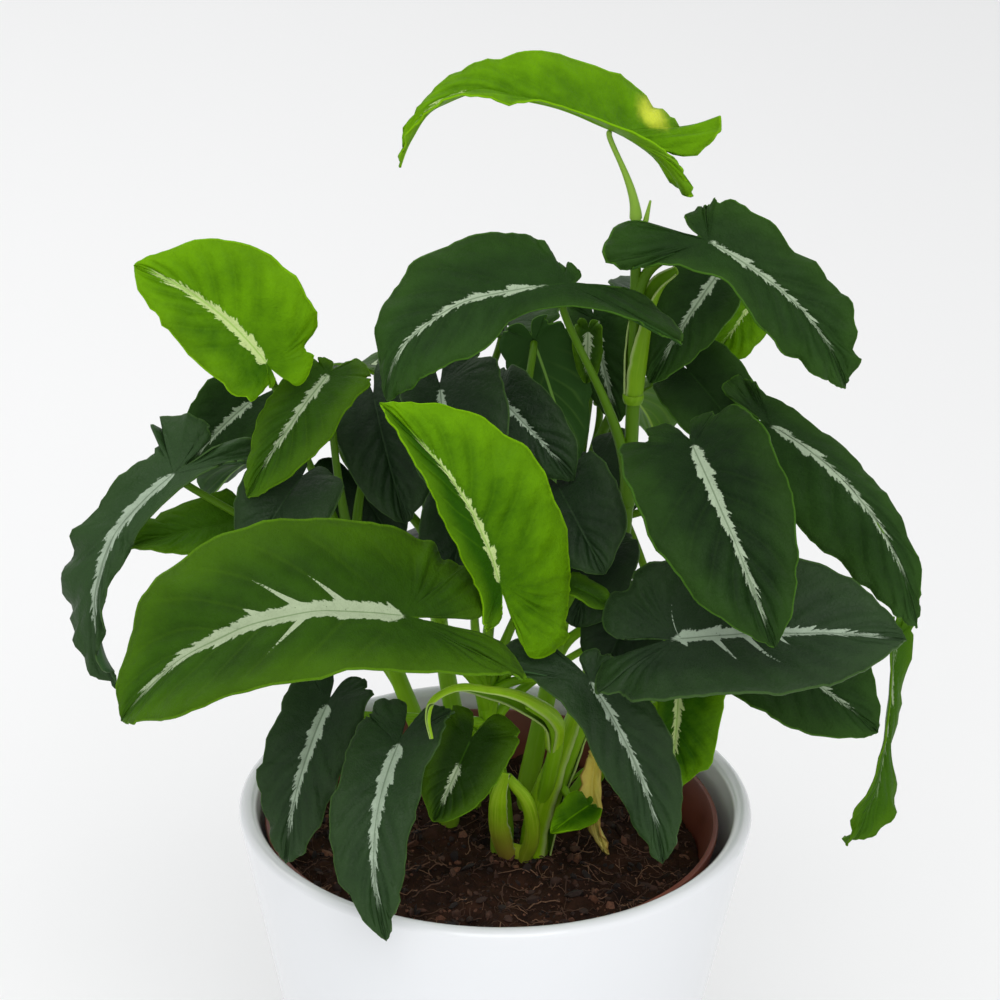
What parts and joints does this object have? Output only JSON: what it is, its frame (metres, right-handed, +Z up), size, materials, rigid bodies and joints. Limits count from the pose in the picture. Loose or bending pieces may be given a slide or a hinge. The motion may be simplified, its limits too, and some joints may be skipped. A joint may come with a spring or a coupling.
{
  "type": "potted syngonium",
  "caption": "Potted arrowhead plant: arrow-shaped leaves with a pale midrib stripe on green stalks, in peat in a plastic nursery pot that stands in a white glazed cover pot.",
  "frame": {"origin": "centre of the cover pot's flat base, on the surface that it stands on", "axes": "+Z up the pot's axis, -Y towards the plant's front as seen in the picture, +X to the viewer's right"},
  "size_m": [0.2274, 0.1998, 0.3334],
  "materials": {
    "glaze": "gloss",
    "terracotta_plastic": "satin",
    "soil": "matte",
    "stalk": "satin",
    "leaf_dark": "satin",
    "leaf_mid": "satin",
    "leaf_bright": "satin",
    "leaf_withered": "matte"
  },
  "bodies": {
    "root": {"cover_pot": "glaze", "nursery_pot": "terracotta_plastic", "soil": "soil", "shoot_tall": "stalk", "shoot_front": "stalk", "shoot_left": "stalk", "shoot_right": "stalk", "shoot_back_left": "stalk", "shoot_back_right": "stalk", "leaf_top": "leaf_bright", "leaf_upper_left_bright": "leaf_bright", "leaf_left_mid": "leaf_mid", "leaf_upper_mid": "leaf_dark", "leaf_upper_right": "leaf_dark", "leaf_upper_right_back": "leaf_dark", "leaf_right_bright_back": "leaf_bright", "leaf_right_round": "leaf_dark", "leaf_right_arch": "leaf_dark", "leaf_right_front": "leaf_dark", "leaf_right_lower": "leaf_dark", "leaf_right_low_back": "leaf_dark", "leaf_right_hanging": "leaf_mid", "leaf_low_right": "leaf_dark", "leaf_low_right_bright": "leaf_mid", "leaf_front_left": "leaf_mid", "leaf_centre_bright": "leaf_bright", "leaf_low_left_1": "leaf_dark", "leaf_low_left_2": "leaf_dark", "leaf_low_mid": "leaf_mid", "leaf_far_left": "leaf_dark", "leaf_left_small_bright": "leaf_bright", "leaf_left_low_dark": "leaf_dark", "leaf_mid_left": "leaf_dark", "leaf_mid_front": "leaf_dark", "leaf_mid_dark": "leaf_dark", "leaf_mid_underside": "leaf_mid", "leaf_mid_right": "leaf_dark", "leaf_mid_small": "leaf_mid", "leaf_mid_low": "leaf_dark", "leaf_mid_low_back": "leaf_dark", "leaf_young": "leaf_mid", "leaf_left_back": "leaf_dark", "leaf_low_small": "leaf_bright", "leaf_withered": "leaf_withered", "leaf_inner_left": "leaf_dark", "leaf_inner_mid": "leaf_dark", "leaf_inner_right": "leaf_dark", "leaf_inner_low": "leaf_dark", "leaf_back_1": "leaf_dark", "leaf_back_2": "leaf_dark", "leaf_back_3": "leaf_mid", "leaf_back_4": "leaf_dark", "leaf_back_5": "leaf_mid", "leaf_back_6": "leaf_dark", "leaf_back_7": "leaf_dark", "leaf_back_8": "leaf_dark", "leaf_back_9": "leaf_dark", "leaf_back_10": "leaf_dark", "leaf_back_11": "leaf_mid", "leaf_back_12": "leaf_mid"}
  },
  "joints": []
}
